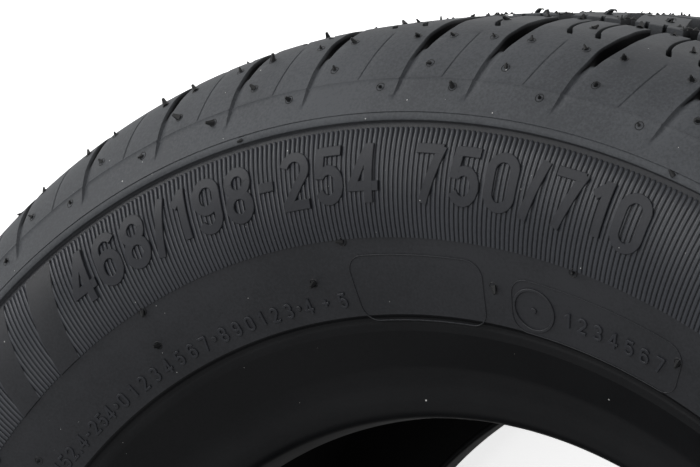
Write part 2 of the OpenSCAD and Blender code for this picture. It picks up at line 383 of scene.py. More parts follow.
def wear_bar_lift(angle):
    """Height of a wear bar on a ring groove's floor at an angle."""
    part = 360 / WEAR_BARS
    off = (angle - WEAR_BAR_START + part / 2) % part - part / 2
    return WEAR_BAR_H if abs(off) < WEAR_BAR_ANGLE / 2 else 0


def on_side(points, side):
    """The near side's points, and for the far side the same turned half round about the X axis."""
    return points if side == 0 else points * np.array([1, -1, -1])


def tread_grid(side, layout, rows, kinds_of, fill, floor_rows):
    """Points of one side and their painted shades. Floor rows lie on a ring groove's floor, whatever crosses
    them.
    """
    grid = []
    groove_shade = []
    for index, (run, depth_there) in enumerate(rows):
        point, out = tread_at(run)
        columns = []
        for start, length in layout:
            kinds = kinds_of(length)
            first = kinds[0][1](run, point[1])[0][0]
            own = pitch_columns(length, run, point, kinds, fill, first)
            columns += [(start + angle, depth, shade) for angle, depth, shade in own]
        angles, depths, shades = np.array(columns).T
        depths = np.maximum(depths, depth_there) if depth_there > 0 else depths + depth_there
        if index in floor_rows:
            real = angles if side == 0 else -angles
            depths = depths - np.array([wear_bar_lift(x) for x in real])
        r = point[0] - depths * out[0]
        z = point[1] - depths * out[1]
        a = np.radians(angles)
        grid.append(np.stack([r * np.cos(a), r * np.sin(a), z], axis=-1))
        groove_shade.append(np.maximum(shades, shade_of(depth_there)))
    return on_side(np.array(grid), side), np.array(groove_shade)


def mesh_of(name, points, quads):
    """Mesh from points in millimetres and rows of four corners."""
    mesh = bpy.data.meshes.new(name)
    points = np.asarray(points, dtype=np.float32) * MM
    quads = np.asarray(quads, dtype=np.int32)
    mesh.vertices.add(len(points))
    mesh.vertices.foreach_set("co", points.ravel())
    mesh.loops.add(quads.size)
    mesh.loops.foreach_set("vertex_index", quads.ravel())
    mesh.polygons.add(len(quads))
    mesh.polygons.foreach_set("loop_start", np.arange(0, quads.size, 4, dtype=np.int32))
    mesh.update(calc_edges=True)
    mesh.validate()
    return mesh


def ring_quads(rows, columns, first=0):
    """Faces of a grid whose last column joins its first one."""
    i, j = np.meshgrid(np.arange(rows - 1), np.arange(columns), indexing="ij")
    k = (j + 1) % columns
    corners = [i * columns + j, i * columns + k, (i + 1) * columns + k, (i + 1) * columns + j]
    return np.stack(corners, axis=-1).reshape(-1, 4) + first


def add_groove_shade(mesh, values):
    """How much painted shade each point in a groove gets, for the rubber's tone and gloss."""
    mesh.attributes.new("groove_shade", "FLOAT", "POINT")
    mesh.attributes["groove_shade"].data.foreach_set("value", np.asarray(values, dtype=np.float32).ravel())
    return mesh


def new_object(name, data):
    thing = bpy.data.objects.new(name, data)
    bpy.context.scene.collection.objects.link(thing)
    return thing


def add_object(name, mesh, material, smooth_under=38):
    mesh.materials.append(material)
    mesh.shade_smooth()
    mesh.set_sharp_from_angle(angle=math.radians(smooth_under))
    return new_object(name, mesh)


def dress(piece):
    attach(piece, "root")
    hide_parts("tyre")


def shoulder_kinds(length):
    """Features of one pitch, each with its angle from the pitch's groove."""
    shares = LONG_SIPES if length > unit_angle * 1.05 else SHORT_SIPES
    sipes = [(length * share, sipe_feature) for share in shares]
    return [(0, groove_feature), sipes[0], (length * LINE_AT, line_feature)] + sipes[1:]


def shoulder_rows():
    """Distances along the outside for the grid's rows, closer where a feature starts or ends."""
    marks = [SHOULDER_START + d for d in (0.2, 0.5, 2, 4.5, 7, 9.5, 12, 14.5, 17)]
    marks += [66, 67.6, SIPE_HOLE_START, 69.1, 70.8, 72.4, SIPE_HOLE_END, SIPE_HOLE_END + 0.2, 74.6, 76, 77]
    marks += [78, 79.2, 80.2] + [81 + 0.75 * i for i in range(14)]
    marks += [92.2, 93.4, 94.6, 95.4, MOULD_LINE, 96.4, 97.5, 98.7, 99.9, 100.9, 101.6]
    return marks + [TAIL_END, 103.2, 104.6, SKIRT_RUN]


def make_shoulder(name, side):
    rows = [(RING_Z, GROOVE_DEPTH), (SHOULDER_START - RING_DRAFT / 2, GROOVE_DEPTH),
            (SHOULDER_START - 0.05, RING_EDGE)]
    for run in shoulder_rows():
        rows.append((run, -MOULD_LINE_H if run == MOULD_LINE else 0))
    grid, groove_shade = tread_grid(side, side_layout(side), rows, shoulder_kinds, 2, (0, 1))
    mesh = mesh_of(name, grid.reshape(-1, 3), ring_quads(grid.shape[0], grid.shape[1]))
    dress(add_object(name, add_groove_shade(mesh, groove_shade), tread_rubber))


for side, end in enumerate(SIDES):
    make_shoulder("tread_" + end, side)


# Middle of the tread: two rows of blocks of the same rubber between the ring grooves. Slanted slots cross
# them and narrower notches run in from the grooves, all moulded in one with the shoulders.
MID_W = 6
MIDDLE_SLOTS = 78
FIRST_SLOT = 83.35
SLANT_W = 4.0
SLANT_DEPTH = 5.8
SLANT_ANGLE = 24
NOTCH_W = 1.3
NOTCH_DEPTH = 4.5
NOTCH_END = 32.5
NOTCHES = (0.41, 0.7)


def middle_layout(side):
    """Start angle and length of each pitch of a middle row, in its side's own frame."""
    start = FIRST_SLOT if side == 0 else -(FIRST_SLOT + FAR_SIDE_TURN)
    return [(start + k * 360 / MIDDLE_SLOTS, 360 / MIDDLE_SLOTS) for k in range(MIDDLE_SLOTS)]


def slant_feature(run, z):
    lean = math.radians(SLANT_ANGLE)
    return slot_columns((RING_Z - z) * math.tan(lean), SLANT_W / math.cos(lean) / 2, SLANT_DEPTH)


def notch_feature(run, z):
    centre = (RING_Z - z) * math.tan(math.radians(SLANT_ANGLE))
    return slot_columns(centre, NOTCH_W / 2, NOTCH_DEPTH if run > NOTCH_END else 0)


def middle_kinds(length):
    return [(0, slant_feature)] + [(length * share, notch_feature) for share in NOTCHES]


def make_middle(name):
    floor_start = RING_Z - RING_W / 2 + RING_DRAFT / 2
    rows = [(0, GROOVE_DEPTH), (MID_W / 2 - RING_DRAFT / 2, GROOVE_DEPTH), (MID_W / 2 + 0.05, RING_EDGE)]
    rows += [(run, 0) for run in (MID_W / 2 + 0.3, 6, 10, 14, 18, 22, 26, 29.5, 32.2, 32.7, 34.8, 36.7)]
    rows += [(RING_Z - RING_W / 2 - 0.05, RING_EDGE), (floor_start, GROOVE_DEPTH), (RING_Z, GROOVE_DEPTH)]
    floor_rows = (0, 1, len(rows) - 2, len(rows) - 1)
    points = []
    quads = []
    groove_shade = []
    for side in (0, 1):
        grid, deep = tread_grid(side, middle_layout(side), rows, middle_kinds, 3, floor_rows)
        quads.append(ring_quads(grid.shape[0], grid.shape[1], sum(len(p) for p in points)))
        points.append(grid.reshape(-1, 3))
        groove_shade.append(deep.ravel())
    mesh = mesh_of(name, np.concatenate(points), np.concatenate(quads))
    dress(add_object(name, add_groove_shade(mesh, np.concatenate(groove_shade)), tread_rubber))


make_middle("tread_middle")


# Strips: a narrow raised ring of tread rubber at the foot of each skirt, with a sunk channel inside it.
# A fine crease parts it from the skirt, where two rings of the mould meet.
CHANNEL_DEPTH = 0.8
CREASE_W = 0.4
CREASE_DEPTH = 0.22
WALL_COLUMNS = 480


def strip_section():
    return [strip_out, strip_out + [-CREASE_W * 0.4, -CREASE_DEPTH], strip_out + [-CREASE_W, 0.0],
            strip_in + [0.45, 0.3], strip_in + [0.15, 0.2], strip_in + [0, -0.1],
            strip_in + [-0.1, 0.2 - CHANNEL_DEPTH]]


def make_turned(name, section, material, side=0):
    """A section turned round the axle line, on the near side or the far one."""
    section = np.asarray(section)
    a = np.radians(np.arange(WALL_COLUMNS) * 360 / WALL_COLUMNS)
    r, z = section[:, 0:1], section[:, 1:2]
    points = np.stack([r * np.cos(a), r * np.sin(a), z + 0 * a], axis=-1).reshape(-1, 3)
    mesh = mesh_of(name, on_side(points, side), ring_quads(len(section), WALL_COLUMNS))
    dress(add_object(name, mesh, material))


for side, end in enumerate(SIDES):
    make_turned("strip_" + end, strip_section(), tread_rubber, side)


# Sidewalls: darker, smoother rubber over the cords. The upper part bulges and carries the ribbed band, and
# the lower part runs down almost flat to a shallow hollow outside the lip.
SECTION_W = 198
WIDEST_R = 187.5
BULGE_R = 39.4
BAND_IN_R = 175.8
LOWER_WALL_R = 148
LIP_R = 1.3
LIP_EDGE_R = 150 + LIP_R
HOLLOW_W = 3
GAP_DEPTH = 0.34
FOOT_STEP = 0.3
FOOT_RUN = 8
wall_rubber = make_rubber("wall_rubber", (0.0118, 0.0127, 0.0152), (0.0194, 0.0204, 0.0240),
                          0.5, 0.03, 0.22, 0.35)

bulge_c = np.array([WIDEST_R, SECTION_W / 2 - BULGE_R])
band_out_a = math.degrees(math.acos((BAND_OUT_R - WIDEST_R) / BULGE_R))
band_in_a = math.degrees(math.acos((BAND_IN_R - WIDEST_R) / BULGE_R))
band_in = bulge_c + BULGE_R * facing(band_in_a)
lower_c = band_in - LOWER_WALL_R * facing(band_in_a)


def lower_a(r):
    return math.degrees(math.acos((r - lower_c[0]) / LOWER_WALL_R))


def wall_at(height):
    """Point and outward direction on the near sidewall, at a height over the ribbed band's inner edge."""
    if height >= 0:
        out = facing(band_in_a - math.degrees(height / BULGE_R))
        return bulge_c + BULGE_R * out, out
    out = facing(band_in_a - math.degrees(height / LOWER_WALL_R))
    return lower_c + LOWER_WALL_R * out, out


BAND_RUN = BULGE_R * math.radians(band_in_a - band_out_a)
hollow_r = LIP_EDGE_R + LIP_R + HOLLOW_W / 2
foot_run = math.radians(lower_a(hollow_r + HOLLOW_W / 2) - band_in_a) * LOWER_WALL_R


def wall_skin(height):
    """Point of the wall under the ribs, and of the lower wall, which starts a little below their tops."""
    point, out = wall_at(height)
    if height >= 0:
        return point - out * (FOOT_STEP + (GAP_DEPTH - FOOT_STEP) * smooth_step(height / FOOT_RUN))
    return point - out * FOOT_STEP * (1 - smooth_step(-height / FOOT_RUN))


def sidewall_section():
    points = [strip_in + [-0.1, 0.2 - CHANNEL_DEPTH], strip_in + [-0.5, -CHANNEL_DEPTH]]
    points += [wall_skin(BAND_RUN * (1 - i / 22) - 0.3) for i in range(22)]
    return points + [wall_skin(-foot_run * (i / 18) ** 1.3) for i in range(19)]


for side, end in enumerate(SIDES):
    make_turned("sidewall_" + end, sidewall_section(), wall_rubber, side)


# Beads: hard black rubber round a bundle of steel wire, which keeps the tyre's inner edge from stretching.
# Each has a rounded lip, a flared face, a heel, a tapered seat and a toe, all formed in the mould.
HOLLOW_DEPTH = 0.8
FACE_Z = 76.2
FLARE_R = 10
FLARE_CENTRE_R = 134.8
HEEL_R = 6
SEAT_R = 126.6
TOE_R = 1.2
BASE_W = 15.8
BASE_TAPER = 5
WALL_T = 8.5
CROWN_T = 14
INNER_SIDE_R = 34
# Painted shade: the lip and bead are coloured much darker and duller than the sidewall, for the shade and
# dark reflection of a wheel rim that isn't built here
bead_rubber_painted_shade = make_rubber("bead_rubber_painted_shade", (0.0064, 0.0067, 0.0075), (0.0085, 0.0088, 0.0097),
                          0.36, 0.02, 0.06, 0.13)


def angle_of(v):
    return math.degrees(math.atan2(v[1], v[0]))


def arc(centre, radius, start, end, steps):
    return [centre + radius * facing(start + (end - start) * i / steps) for i in range(steps + 1)]


def cross_face(c1, r1, c2, r2):
    """Direction in which a straight line faces where it leaves a hollow for a round edge."""
    return angle_of(c2 - c1) - math.degrees(math.acos((r1 + r2) / np.linalg.norm(c2 - c1)))


flare_c = np.array([FLARE_CENTRE_R, FACE_Z + FLARE_R])
heel_c = np.array([SEAT_R + HEEL_R, FACE_Z - HEEL_R])
toe_c = heel_c + (HEEL_R - TOE_R) * facing(180 - BASE_TAPER) \
    - (BASE_W - HEEL_R - TOE_R) * facing(90 - BASE_TAPER)
inner_crown_r = CROWN_R - CROWN_T
inner_side_z = SECTION_W / 2 - WALL_T - INNER_SIDE_R
inner_a = math.degrees(math.asin(inner_side_z / (inner_crown_r - INNER_SIDE_R)))
inner_side_c = crown_c + (inner_crown_r - INNER_SIDE_R) * facing(inner_a)
inner_wall_a = cross_face(inner_side_c, INNER_SIDE_R, toe_c, TOE_R)


def bead_section():
    """From the hollow beside the lip to the toe."""
    lip_c = lower_c + (LOWER_WALL_R - LIP_R) * facing(lower_a(LIP_EDGE_R))
    flare_a = cross_face(flare_c, FLARE_R, lip_c, LIP_R)
    points = []
    for k in range(9):
        dip = HOLLOW_DEPTH * (1 - math.cos(2 * math.pi * k / 9)) / 2
        points.append(lower_c + (LOWER_WALL_R - dip) * facing(lower_a(hollow_r + HOLLOW_W * (0.5 - k / 9))))
    points += arc(lip_c, LIP_R, lower_a(LIP_EDGE_R), flare_a + 180, 8)
    points += arc(flare_c, FLARE_R, flare_a, -90, 8)
    points += arc(heel_c, HEEL_R, 90, 180 - BASE_TAPER, 8)
    points += arc(toe_c, TOE_R, 180 - BASE_TAPER, inner_wall_a + 180, 6)
    return points


for side, end in enumerate(SIDES):
    make_turned("bead_" + end, bead_section(), bead_rubber_painted_shade, side)


# Inner liner: the thin airtight skin of the inside, from toe to toe. It is built first on the drum and
# cured with the rest, so it joins both beads without an edge.
liner_rubber = make_rubber("liner_rubber", (0.015, 0.015, 0.016), (0.021, 0.021, 0.022),
                           0.45, 0.06, 0.02, 0.35)


def liner_section():
    half = [toe_c + TOE_R * facing(inner_wall_a + 180)]
    half += arc(inner_side_c, INNER_SIDE_R, inner_wall_a, inner_a, 16)
    half += arc(crown_c, inner_crown_r, inner_a, 0, 4)
    return half + [p * [1, -1] for p in half[-2::-1]]


make_turned("inner_liner", liner_section(), liner_rubber)


# Ribbed bands: fine radial ribs round both sidewalls, cut into the mould's side plates. They hide the small
# dents that the cords' joints leave in a sidewall.
RIB_COUNT = 834
RIB_SHARE = 0.75
RIB_TOP = 0.12
# Painted light: the ribs are the sidewall's own rubber, coloured lighter than the wall for the light their
# fine ridges catch
rib_rubber_painted_light = make_rubber("rib_rubber_painted_light", (0.027, 0.0293, 0.0355), (0.036, 0.0387, 0.0455),
                         0.42, 0.02, 0.1, 0.35)


def new_tree(name, inputs):
    """Geometry Nodes tree with named inputs: the tree, its inputs' outputs and their identifiers."""
    tree = bpy.data.node_groups.new(name, "GeometryNodeTree")
    tree.interface.new_socket("Geometry", in_out="INPUT", socket_type="NodeSocketGeometry")
    sockets = {}
    for label, kind in inputs.items():
        sockets[label] = tree.interface.new_socket(label, in_out="INPUT", socket_type=kind).identifier
    tree.interface.new_socket("Geometry", in_out="OUTPUT", socket_type="NodeSocketGeometry")
    return tree, tree.nodes.new("NodeGroupInput").outputs, sockets


def end_tree(tree, geometry, material):
    """Makes a tree's instances real and gives them their material."""
    real = add_node(tree, "GeometryNodeRealizeInstances", {"Geometry": geometry})
    coat = add_node(tree, "GeometryNodeSetMaterial", {"Geometry": real.outputs["Geometry"]})
    coat.inputs["Material"].default_value = material
    add_node(tree, "NodeGroupOutput", {"Geometry": coat.outputs["Geometry"]})


def ring_array_tree(material):
    """Geometry Nodes tree that repeats its own mesh round the Z axis."""
    tree, given, sockets = new_tree("ring_array", {"Count": "NodeSocketInt"})
    line = add_node(tree, "GeometryNodeMeshLine", {"Count": given["Count"]}, Offset=(0, 0, 0))
    step = math_node(tree, "DIVIDE", 2 * math.pi, given["Count"])
    turn = math_node(tree, "MULTIPLY", tree.nodes.new("GeometryNodeInputIndex").outputs[0], step)
    spin = add_node(tree, "ShaderNodeCombineXYZ", {"Z": turn})
    copies = add_node(tree, "GeometryNodeInstanceOnPoints", {
        "Points": line.outputs["Mesh"], "Instance": given["Geometry"], "Rotation": spin.outputs["Vector"]})
    end_tree(tree, copies.outputs["Instances"], material)
    return tree, sockets


def apply_tree(name, source, tree, sockets, values):
    """Runs a tree on a mesh and returns an object with the plain result."""
    carrier = new_object(name + "_seed", source)
    modifier = carrier.modifiers.new("tree", "NODES")
    modifier.node_group = tree
    for label, value in values.items():
        modifier[sockets[label]] = value
    shown = carrier.evaluated_get(bpy.context.evaluated_depsgraph_get())
    mesh = bpy.data.meshes.new_from_object(shown)
    mesh.name = name
    bpy.data.objects.remove(carrier)
    mesh.shade_smooth()
    mesh.set_sharp_from_angle(angle=math.radians(50))
    return new_object(name, mesh)


def spun(place, a):
    """A section's point, turned about the axle line by an angle in radians."""
    return (place[0] * math.cos(a), place[0] * math.sin(a), place[1])


def rib_mesh(side):
    """One rib at angle 0: a rounded bar along the band, square at its inner end and round at its outer."""
    runs = [0.0, 0.12, 0.5] + [BAND_RUN * i / 8 for i in range(1, 8)]
    runs += [BAND_RUN - 0.7, BAND_RUN - 0.25, BAND_RUN + 0.15]
    tops = [-GAP_DEPTH, RIB_TOP - 0.05, RIB_TOP] + [RIB_TOP] * 7
    tops += [RIB_TOP + 0.08, RIB_TOP - 0.05, -GAP_DEPTH - 0.2]
    widths = [0.9, 0.95, 1] + [1] * 7 + [0.95, 0.7, 0.3]
    half_angle = math.pi * RIB_SHARE / RIB_COUNT
    points = []
    for run, top, width in zip(runs, tops, widths):
        point, out = wall_at(run)
        for across, share in ((-1, 0), (-0.86, 0.75), (-0.35, 1), (0.35, 1), (0.86, 0.75), (1, 0)):
            height = -GAP_DEPTH - 0.1 + (top + GAP_DEPTH + 0.1) * share
            points.append(spun(point + out * height, across * half_angle * width))
    quads = []
    for i in range(len(runs) - 1):
        quads += [(i * 6 + j + 1, i * 6 + j, i * 6 + j + 6, i * 6 + j + 7) for j in range(5)]
    return mesh_of("rib", on_side(np.array(points), side), [q[::-1] for q in quads])


rib_tree, rib_sockets = ring_array_tree(rib_rubber_painted_light)
for side, end in enumerate(SIDES):
    dress(apply_tree("ribs_" + end, rib_mesh(side), rib_tree, rib_sockets, {"Count": RIB_COUNT}))


# Large raised numbers on the ribbed bands: plain digits, engraved in the mould's side plates, so that each
# stands over the ribs with a flat top and a small chamfer.
MARK_LOW = 9.4
MARK_HIGH = 24.6
MARK_STROKE = 2.6
MARK_TOP = 0.62
GLYPH_STROKE = 0.165
# Painted light: the numbers are the sidewall's own rubber, coloured somewhat lighter than the wall for the
# light their flat tops catch
mark_rubber_painted_light = make_rubber("mark_rubber_painted_light", (0.0160, 0.0172, 0.0212), (0.0212, 0.0226, 0.0276),
                          0.52, 0.03, 0.12, 0.35)


def curve(cx, cy, rx, ry, start, end, steps=12):
    return [(cx + rx * math.cos(math.radians(a)), cy + ry * math.sin(math.radians(a)))
            for a in (start + (end - start) * i / steps for i in range(steps + 1))]


def oval(x0, x1, y0, y1):
    """Closed loop with straight sides and round ends."""
    rx = (x1 - x0) / 2
    ry = min(rx, (y1 - y0) / 2)
    cx = (x0 + x1) / 2
    return curve(cx, y1 - ry, rx, ry, 0, 180) + curve(cx, y0 + ry, rx, ry, 180, 360) + [(x1, y1 - ry)]


def glyph_strokes():
    """Middle lines of each sign, in a cell that is 1 high with the stroke's width taken off."""
    w = 0.44
    h = 0.835
    mid = w / 2
    six = [curve(mid, h - mid, mid, mid, 25, 180) + [(0, 0.24)], oval(0, w, 0, 0.5)]
    return {
        "0": (w, [oval(0, w, 0, h)]),
        "1": (0.27, [[(0.2, 0), (0.2, h + 0.08)], [(0.2, h), (0.0, 0.64)]]),
        "2": (w, [curve(mid, h - mid, mid, mid, 165, -35) + [(0.03, 0.02)], [(-0.05, 0), (w + 0.05, 0)]]),
        "3": (w, [curve(mid, h - 0.205, 0.2, 0.205, 155, -90),
                  curve(mid - 0.01, 0.215, mid, 0.215, 90, -155)]),
        "4": (w + 0.03, [[(0.33, -0.08), (0.33, h + 0.08)], [(0.3, h), (0.0, 0.2)],
                         [(-0.07, 0.2), (w + 0.09, 0.2)]]),
        "5": (w, [[(w + 0.02, h), (0.05, h)], [(0.07, h + 0.06), (0.02, 0.38)],
                  curve(mid, 0.26, mid, 0.26, 140, -155)]),
        "6": (w, six),
        "7": (w, [[(-0.04, h), (w + 0.02, h)], [(w, h + 0.05), (0.13, -0.08)]]),
        "8": (w, [oval(0.02, w - 0.02, 0.43, h), oval(0, w, 0, 0.43)]),
        "9": (w, [[(w - x, h - y) for x, y in stroke] for stroke in six]),
        "/": (0.25, [[(0, -0.09), (0.25, h + 0.09)]]),
        "-": (0.26, [[(-0.02, h / 2), (0.28, h / 2)]]),
        "+": (0.4, [[(-0.02, h / 2), (0.42, h / 2)], [(0.2, h / 2 - 0.22), (0.2, h / 2 + 0.22)]]),
        ".": (0.04, [[(0.02, -0.08), (0.02, 0.07)]]),
    }


def densify(points, longest):
    """The same line with no step longer than a given length, and with no point twice."""
    dense = [points[0]]
    for a, b in zip(points, points[1:]):
        steps = math.ceil(math.dist(a, b) / longest - 1e-6)
        dense += [(a[0] + (b[0] - a[0]) * i / steps, a[1] + (b[1] - a[1]) * i / steps)
                  for i in range(1, steps + 1)]
    return dense


def on_wall(angle, height):
    """Function that places a point x mm along the near wall from an angle, at its own height and lift."""
    scale = wall_at(height)[0][0]

    def place(x, at_height, lift):
        point, out = wall_at(at_height)
        return spun(point + out * lift, math.radians(angle) - x / scale)

    return place


def bar_section(half, top, bottom, chamfer):
    """Offsets across and heights of a raised line's section, from its left foot to its right one."""
    return [(-half, bottom), (-half, top - chamfer), (-half + chamfer, top),
            (half - chamfer, top), (half, top - chamfer), (half, bottom)]


def raised_line(points, section, place):
    """Points and faces of one line whose section follows the given middle line."""
    pts = np.array(points)
    closed = np.linalg.norm(pts[0] - pts[-1]) < 1e-6
    pts = pts[:-1] if closed else pts
    count = len(pts)
    grid = []
    for i in range(count):
        before = pts[i] - pts[i - 1] if closed or i > 0 else pts[1] - pts[0]
        after = pts[(i + 1) % count] - pts[i] if closed or i < count - 1 else pts[-1] - pts[-2]
        n1 = np.array([before[1], -before[0]]) / np.linalg.norm(before)
        n2 = np.array([after[1], -after[0]]) / np.linalg.norm(after)
        side = (n1 + n2) / max(1 + float(n1 @ n2), 0.4)
        grid.append([place(*(pts[i] + side * off), height) for off, height in section])
    wide = len(section)
    grid = np.array(grid)
    quads = []
    for i in range(count if closed else count - 1):
        k = (i + 1) % count
        quads += [(i * wide + j, k * wide + j, k * wide + j + 1, i * wide + j + 1) for j in range(wide - 1)]
    if not closed:
        for row, flip in ((0, False), (count - 1, True)):
            for a, b, c, d in ((0, 1, 4, 5), (1, 2, 3, 4)):
                quad = (row * wide + a, row * wide + b, row * wide + c, row * wide + d)
                quads.append(quad[::-1] if flip else quad)
    return grid.reshape(-1, 3), quads


class Relief:
    """Collects raised lines on the near sidewall and makes a mesh of them for either side."""

    def __init__(self):
        self.points = []
        self.quads = []
        self.size = 0

    def add(self, points, section, place):
        new_points, new_quads = raised_line(points, section, place)
        self.points.append(new_points)
        self.quads += [tuple(q + self.size for q in quad) for quad in new_quads]
        self.size += len(new_points)

    def write(self, text, first_angle, last_angle, low, high, stroke, top, bottom, chamfer):
        """Text between two angles, with its foot and head at two heights on the wall."""
        tall = high - low
        pad = GLYPH_STROKE / 2
        widths = [GLYPHS[c][0] + 2 * pad for c in text]
        place = on_wall((first_angle + last_angle) / 2, (low + high) / 2)
        room = math.radians(first_angle - last_angle) * wall_at((low + high) / 2)[0][0]
        gap = (room - sum(widths) * tall) / max(len(text) - 1, 1)
        x = -room / 2
        for sign, width in zip(text, widths):
            for order, line in enumerate(GLYPHS[sign][1]):
                line = [((px + pad) * tall + x, (py + pad) * tall + low) for px, py in line]
                section = bar_section(stroke / 2, top - 0.012 * order, bottom, chamfer)
                self.add(densify(line, max(tall / 10, 0.4)), section, place)
            x += width * tall + gap

    def piece(self, name, material, side=0):
        points = on_side(np.concatenate(self.points), side)
        dress(add_object(name, mesh_of(name, points, [q[::-1] for q in self.quads]), material, 30))


GLYPHS = glyph_strokes()
large_marks = Relief()
large_marks.write("468/198-254", 126.0, 93.8, MARK_LOW, MARK_HIGH, MARK_STROKE, MARK_TOP, -0.6, 0.14)
large_marks.write("750/710", 90.8, 70.5, MARK_LOW, MARK_HIGH, MARK_STROKE, MARK_TOP, -0.6, 0.14)
for side, end in enumerate(SIDES):
    large_marks.piece("large_numbers_" + end, mark_rubber_painted_light, side)


# Small raised numbers on the lower sidewalls: lines of plain digits that stand on the smooth rubber just
# outside the lip, engraved in the same plates.
SMALL_STROKE = 0.75
SMALL_TOP = 0.45

# Text, first and last angle, and the heights of its foot and head
SMALL_LINES = (("152.4-254", 140.0, 130.3, -18.9, -14.5), ("01234567", 129.1, 116.4, -18.9, -14.5),
               ("890123", 114.9, 105.9, -18.9, -14.5), ("4+5", 104.5, 99.6, -18.9, -14.5),
               ("1234567", 76.2, 65.7, -16.6, -12.0))
small_marks = Relief()
for line in SMALL_LINES:
    small_marks.write(*line, SMALL_STROKE, SMALL_TOP, -0.2, 0.12)
for side, end in enumerate(SIDES):
    small_marks.piece("small_numbers_" + end, mark_rubber_painted_light, side)


# Smooth pads that break the ribbed bands: slanted fields without ribs, where the mould's plate is left
# plain. They stand just over the ribs' tops.
PADS = ((130.2, 127.2, 131.7, 129.1), (136.2, 133.2, 137.7, 135.2))
PAD_TOP = 0.2
PAD_ROWS = 12
PAD_COLUMNS = 6


def pad_mesh(outer_from, outer_to, inner_from, inner_to, side):
    """One pad between two angles at the band's outer edge and two at its inner edge."""
    points = []
    shares = [0, 0] + [j / PAD_COLUMNS for j in range(PAD_COLUMNS + 1)] + [1, 1]
    drops = [1, 0.15] + [0] * (PAD_COLUMNS + 1) + [0.15, 1]
    spreads = [-0.12, -0.05] + [0] * (PAD_COLUMNS + 1) + [0.05, 0.12]
    heights = [-0.05, 0.0] + [0.15 + (BAND_RUN - 0.5) * i / PAD_ROWS for i in range(PAD_ROWS + 1)]
    heights.append(BAND_RUN - 0.2)
    for row, height in enumerate(heights):
        t = height / BAND_RUN
        left = inner_from + (outer_from - inner_from) * t
        right = inner_to + (outer_to - inner_to) * t
        point, out = wall_at(height)
        fall = 1 if row in (0, len(heights) - 1) else 0.15 if row == 1 else 0
        for share, drop, spread in zip(shares, drops, spreads):
            a = math.radians(left + (right - left) * share - spread)
            points.append(spun(point + out * (PAD_TOP - (PAD_TOP + 0.6) * max(drop, fall)), a))
    wide = len(shares)
    quads = [(i * wide + j, i * wide + j + 1, (i + 1) * wide + j + 1, (i + 1) * wide + j)
             for i in range(len(heights) - 1) for j in range(wide - 1)]
    return mesh_of("pad", on_side(np.array(points), side), [q[::-1] for q in quads])


for side, end in enumerate(SIDES):
    for number, corners in enumerate(PADS, 1):
        dress(add_object(f"pad_{number}_{end}", pad_mesh(*corners, side), wall_rubber, 30))


# Outlines, a ring and dots on the lower sidewalls: fine raised lines of the wall's own rubber, where small
# exchangeable plates sit in the mould.
LINE_SECTION = bar_section(0.14, 0.2, -0.2, 0.06)
RING_SECTION = bar_section(0.38, 0.42, -0.2, 0.12)
DOT_SECTION = bar_section(0.4, 0.45, -0.2, 0.12)
RING_R = 5.8
DOT_R = 0.42
PLATE_CORNER_R = 4.6
outlines = Relief()


def rounded_box(x0, x1, y0, y1, r):
    """Closed outline with round corners."""
    corners = ((x1 - r, y1 - r), (x0 + r, y1 - r), (x0 + r, y0 + r), (x1 - r, y0 + r))
    points = []
    for number, (x, y) in enumerate(corners):
        points += curve(x, y, r, r, 90 * number, 90 * number + 90, 8)
    return points + points[:1]


def plate_outline(first_angle, last_angle, low, high):
    half = math.radians(first_angle - last_angle) * wall_at((low + high) / 2)[0][0] / 2
    place = on_wall((first_angle + last_angle) / 2, (low + high) / 2)
    outlines.add(densify(rounded_box(-half, half, low, high, PLATE_CORNER_R), 2.5), LINE_SECTION, place)


def wall_ring(angle, height, radius, section):
    outlines.add(curve(0, height, radius, radius, 0, 360, 28), section, on_wall(angle, height))


plate_outline(98.3, 84.6, -23.4, -4.6)
plate_outline(81.7, 64.2, -21.8, -6.75)
wall_ring(79.4, -14.7, RING_R, RING_SECTION)
for dot_angle, dot_height in ((79.4, -14.7), (129.7, -16.7), (115.65, -16.7), (105.2, -16.7)):
    wall_ring(dot_angle, dot_height, DOT_R, DOT_SECTION)
for side, end in enumerate(SIDES):
    outlines.piece("outlines_" + end, wall_rubber, side)


# Spews: short rubber hairs, each on a small ring, where rubber has run into the mould's air vents. They
# stand on the shoulders, strips and sidewalls, and finer ones and stubs on the middle blocks.
SPEW_SEED = 7
RING_WIRE_R = 0.11
SPEW_SCALES = (0.6, 1.35)
HAIR_SIZES = ("Hair height", "Foot radius", "Tip radius", "Ring radius")
SHOULDER_SPEWS = ((1, -0.8, 91.2), (0, 2.6, 98.2), (0, 1.5, 80.0), (1, -1.27, 80.0), (0.49, 0, 63.8),
                  (0, -0.45, 48.2), (0, 2.05, 48.2))
STRIP_SPEWS = 10
FIRST_STRIP_SPEW = 70.4
STRIP_FACE = 84
# Height on the wall, first angle and number of each ring of hairs on a sidewall
WALL_SPEWS = ((-10.6, 83.5, 19), (-0.5, 75.7, 16))
MIDDLE_SPEWS = ((0.27, 35.5), (0.8, 24), (0.45, 12))
STUBS = ((0.2, 31), (0.33, 30), (0.46, 31), (0.7, 8), (0.9, 22))
hair_rubber = make_rubber("hair_rubber", (0.010, 0.0104, 0.011), (0.014, 0.0145, 0.0152),
                          0.45, 0.02, 0.0, 0.3)


def place_on(side, profile_point, out, angle):
    """A profile's point and its outward direction, at an angle round the near or far side."""
    return [on_side(np.array(spun(place, math.radians(angle))), side) for place in (profile_point, out)]


